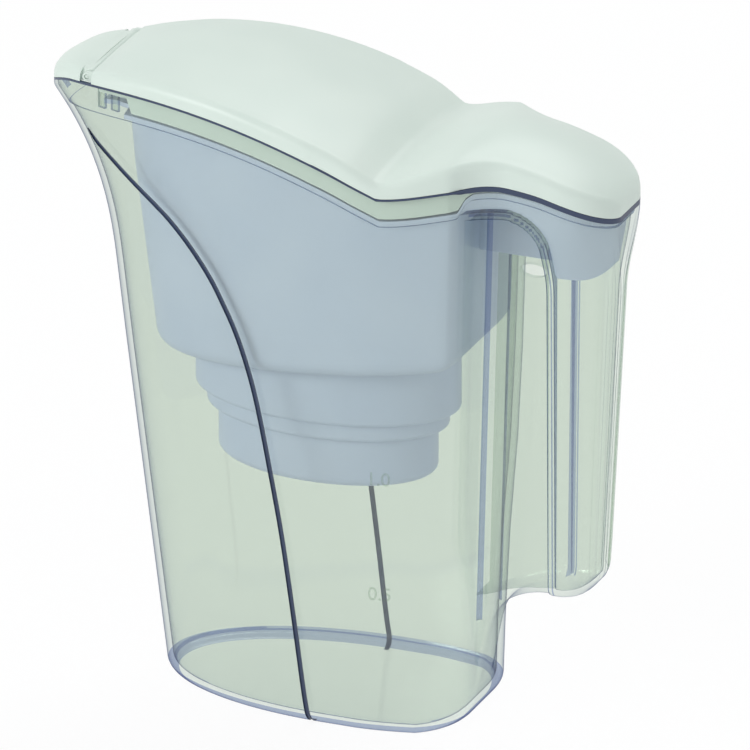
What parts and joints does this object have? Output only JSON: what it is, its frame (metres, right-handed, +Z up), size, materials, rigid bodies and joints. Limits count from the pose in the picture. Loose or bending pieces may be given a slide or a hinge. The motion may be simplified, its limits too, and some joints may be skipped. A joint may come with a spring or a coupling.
{
  "type": "water filter pitcher with flip lid",
  "caption": "Tall clear water pitcher with a beaked spout, hollow moulded handle, hanging filter reservoir with oval cartridge, and a lid with a hinged spout flap.",
  "frame": {"origin": "on the table under the middle of the overall length and width", "axes": "+X from the spout to the handle, +Z up, +Y to the side away from the viewer"},
  "size_m": [0.2546, 0.104, 0.2771],
  "materials": {
    "clear_plastic": "clear moulded plastic, faint green tint, gloss",
    "frosted_plastic": "translucent blue-grey moulded plastic, satin",
    "white_plastic": "white moulded plastic",
    "seal_rubber": "soft pale seal",
    "mesh_screen": "fine woven mesh",
    "filter_media": "packed dark granules",
    "lid_plastic": "opaque off-white moulded plastic, soft gloss"
  },
  "bodies": {
    "jug": {"jug": "clear_plastic"},
    "reservoir": {"reservoir": "frosted_plastic"},
    "cartridge": {"cartridge_shell": "white_plastic", "cartridge_cap": "white_plastic", "cartridge_seal": "seal_rubber", "upper_screen": "mesh_screen", "lower_screen": "mesh_screen", "filter_media": "filter_media"},
    "lid": {"lid": "lid_plastic", "hinge_ears": "lid_plastic"},
    "flap": {"spout_flap": "lid_plastic"}
  },
  "joints": [
    {"name": "reservoir_lift", "type": "slide", "parent": "jug", "child": "reservoir", "axis": [0, 0, 1], "range_m": [0, 0.19]},
    {"name": "cartridge_lift", "type": "slide", "parent": "reservoir", "child": "cartridge", "axis": [0, 0, 1], "range_m": [0, 0.085]},
    {"name": "lid_lift", "type": "slide", "parent": "reservoir", "child": "lid", "axis": [0, 0, 1], "range_m": [0, 0.06]},
    {"name": "flap_hinge", "type": "hinge", "parent": "lid", "child": "flap", "pos_m": [-0.1028, 0, 0.26617], "axis": [0, 1, 0], "range_deg": [0, 75]}
  ]
}
